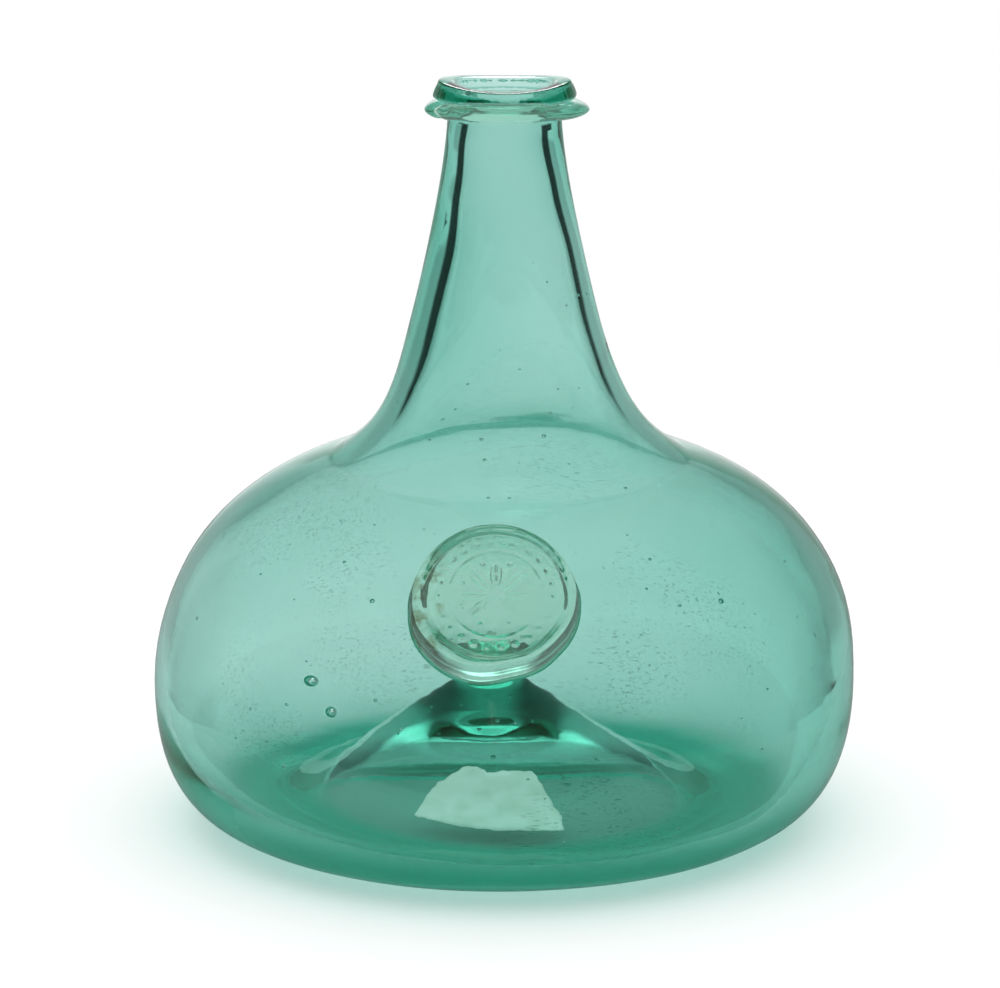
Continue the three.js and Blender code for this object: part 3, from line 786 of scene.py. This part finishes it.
def makeWorld():
    s = studio
    world = bpy.data.worlds.new("white_room")
    scene.world = world
    world.use_nodes = True
    tree = world.node_tree
    tree.nodes.clear()
    maths, mix = "ShaderNodeMath", "ShaderNodeMix"
    path = addNode(tree, "ShaderNodeLightPath").outputs
    direction = addNode(tree, "ShaderNodeTexCoord").outputs["Generated"]
    parts = addNode(tree, "ShaderNodeSeparateXYZ", {"Vector": direction}).outputs
    level = parts["Z"]
    upDown = addNode(tree, maths, {0: level}, operation="ABSOLUTE").outputs[0]
    sideways = addNode(tree, maths, {0: parts["X"]}, operation="ABSOLUTE").outputs[0]
    turn = addNode(tree, maths, {0: sideways, 1: parts["Y"]}, operation="ARCTAN2").outputs[0]
    turn = addNode(tree, maths, {0: turn}, operation="DEGREES").outputs[0]

    # kinds of rays, by how many faces of glass they passed, how often they were mirrored or scattered
    rays = {
        "outside": ("Transmission Depth", "LESS_THAN", s["outside"]),
        "oneWall": ("Transmission Depth", "LESS_THAN", 2.5),
        "deep": ("Transmission Depth", "GREATER_THAN", 2.5),
        "bothWalls": ("Transmission Depth", "COMPARE", 4.0, 1.4),
        "manyWalls": ("Transmission Depth", "GREATER_THAN", 5.5),
        "mirroredOnce": ("Glossy Depth", "COMPARE", 1.0, 0.5),
        "atMostOnce": ("Glossy Depth", "LESS_THAN", 1.5),
        "often": ("Glossy Depth", "GREATER_THAN", 1.5),
        "unscattered": ("Diffuse Depth", "LESS_THAN", 0.5),
    }
    for name, (count, test, *numbers) in rays.items():
        inputs = dict(enumerate([path[count]] + numbers))
        rays[name] = addNode(tree, maths, inputs, operation=test).outputs[0]

    # soft changes: what they follow, the span they happen over, and the amounts before and after it
    fades = {
        "box": (level, s["boxRise"], 1.0, s["boxStrength"]),
        "boxHigh": (level, s["boxFall"], 1.0, s["boxHigh"]),
        "boxWide": (turn, s["boxTurn"], 1.0, s["boxBeside"]),
        "darkIn": (level, s["darkLevel"], *s["darkFrom"]),
        "past": (turn, s["darkPast"], s["dark"], 1.0),
        "steep": (upDown, s["steep"], 0.0, 1.0),
        "paper": (turn, s["paperTurn"], 1.0, s["paperSides"]),
        "paperLow": (level, s["paperLevel"], 0.0, 1.0),
        "dimFront": (turn, s["frontFrom"], 1.0, s["front"]),
        "mirrored": (turn, s["mirrorTurn"], 1.0, s["mirrorSides"]),
        "mirrorFar": (turn, s["mirrorFar"], 1.0, s["mirrorRoom"]),
        "mirrorAbove": (level, s["mirrorLevel"], 1.0, s["mirrorRoom"]),
        "glint": (level, s["glintLow"], 0.0, s["glint"]),
        "glintTop": (level, s["glintHigh"], 1.0, 0.0),
        "glintWide": (turn, s["glintTurn"], 1.0, 0.0),
        "sky": (level, s["skyRise"], *s["sky"]),
    }
    for name, (value, span, before, after) in fades.items():
        fades[name] = addNode(tree, "ShaderNodeMapRange", {
            "Value": value, "From Min": span[0], "From Max": span[1], "To Min": before, "To Max": after},
            interpolation_type="SMOOTHSTEP").outputs["Result"]

    # softbox above and behind, that only light through several walls finds
    boxed = addNode(tree, maths, {0: fades["box"], 1: fades["boxHigh"]}, operation="MULTIPLY").outputs[0]
    boxed = addNode(tree, maths, {0: boxed, 1: fades["boxWide"]}, operation="MULTIPLY").outputs[0]
    many = addNode(tree, maths, {
        0: rays["manyWalls"], 1: path["Is Transmission Ray"]}, operation="MULTIPLY").outputs[0]
    through = addNode(tree, mix, {0: many, 2: 1.0, 3: boxed}, data_type="FLOAT").outputs[0]

    # dark sides of the room, that only the turned edges of the glass show, fading overhead
    darkFull = addNode(tree, maths, {0: fades["darkIn"], 1: s["darkFade"]}, operation="ADD").outputs[0]
    side = addNode(tree, "ShaderNodeMapRange", {
        "Value": turn, "From Min": fades["darkIn"], "From Max": darkFull,
        "To Min": 1.0, "To Max": s["dark"]}, interpolation_type="SMOOTHSTEP").outputs["Result"]
    edges = addNode(tree, maths, {0: side, 1: fades["past"]}, operation="MAXIMUM").outputs[0]
    edges = addNode(tree, maths, {0: edges, 1: fades["steep"]}, operation="MAXIMUM").outputs[0]
    turned = addNode(tree, maths, {
        0: rays["oneWall"], 1: rays["atMostOnce"]}, operation="MULTIPLY").outputs[0]
    paper = addNode(tree, mix, {
        0: fades["paperLow"], 2: 1.0, 3: fades["paper"]}, data_type="FLOAT").outputs[0]
    edges = addNode(tree, maths, {0: edges, 1: paper}, operation="MULTIPLY").outputs[0]
    glassSees = addNode(tree, mix, {0: turned, 2: through, 3: edges}, data_type="FLOAT").outputs[0]

    # one reflection inside the bottle finds the dim front of the room, and after both walls a dim room
    dimFront = addNode(tree, mix, {
        0: rays["bothWalls"], 2: fades["dimFront"], 3: s["inside"]}, data_type="FLOAT").outputs[0]
    often = addNode(tree, maths, {0: rays["often"], 1: rays["deep"]}, operation="MULTIPLY").outputs[0]
    freed = addNode(tree, mix, {0: often, 2: 1.0, 3: s["freed"]}, data_type="FLOAT").outputs[0]
    dimFront = addNode(tree, mix, {
        0: rays["mirroredOnce"], 2: freed, 3: dimFront}, data_type="FLOAT").outputs[0]
    glassSees = addNode(tree, maths, {0: glassSees, 1: dimFront}, operation="MULTIPLY").outputs[0]

    # the outer face mirrors white only right behind and a dim room elsewhere
    mirrored = addNode(tree, maths, {
        0: fades["mirrored"], 1: fades["mirrorFar"]}, operation="MULTIPLY").outputs[0]
    mirrored = addNode(tree, maths, {0: mirrored, 1: fades["mirrorAbove"]}, operation="MULTIPLY").outputs[0]
    # the softbox again, low enough behind that only the rims of seal, string and lip mirror it
    glint = addNode(tree, maths, {0: fades["glint"], 1: fades["glintTop"]}, operation="MULTIPLY").outputs[0]
    mirrored = addNode(tree, maths, {
        0: glint, 1: fades["glintWide"], 2: mirrored}, operation="MULTIPLY_ADD").outputs[0]
    outerMirror = addNode(tree, maths, {
        0: rays["outside"], 1: path["Is Glossy Ray"]}, operation="MULTIPLY").outputs[0]
    glassSees = addNode(tree, mix, {0: outerMirror, 2: glassSees, 3: mirrored}, data_type="FLOAT").outputs[0]

    # the camera sees plain white, and the table is lit mostly from overhead
    inGlass = addNode(tree, maths, {
        0: path["Is Glossy Ray"], 1: path["Is Transmission Ray"]}, operation="MAXIMUM").outputs[0]
    seen = addNode(tree, maths, {0: inGlass, 1: rays["unscattered"]}, operation="MULTIPLY").outputs[0]
    plain = addNode(tree, mix, {
        0: rays["unscattered"], 2: fades["sky"], 3: 1.0}, data_type="FLOAT").outputs[0]
    strength = addNode(tree, mix, {0: seen, 2: plain, 3: glassSees}, data_type="FLOAT").outputs[0]
    light = addNode(tree, "ShaderNodeBackground", {"Color": (1, 1, 1, 1), "Strength": strength})
    addNode(tree, "ShaderNodeOutputWorld", {"Surface": light.outputs["Background"]})


makeTable()
makeWorld()

photoCamera = {"place": (-0.86, -950, 300), "pitch": 13.55, "lens": 165.1, "sensor": 36}
cameraData = bpy.data.cameras.new("photo_camera")
cameraData.lens = photoCamera["lens"]
cameraData.sensor_width = photoCamera["sensor"]
cameraData.sensor_fit = "HORIZONTAL"
camera = bpy.data.objects.new("photo_camera", cameraData)
camera.location = Vector(photoCamera["place"]) * mm
camera.rotation_euler = (math.radians(90 - photoCamera["pitch"]), 0, 0)
scene.collection.objects.link(camera)
scene.camera = camera

scene.view_settings.view_transform = "Standard"
scene.cycles.blur_glossy = 0  # light that reaches the table through the glass stays sharp
scene.cycles.max_bounces = 32
scene.cycles.transmission_bounces = 28
scene.cycles.glossy_bounces = 12
scene.cycles.transparent_max_bounces = 16
print("studio lit")
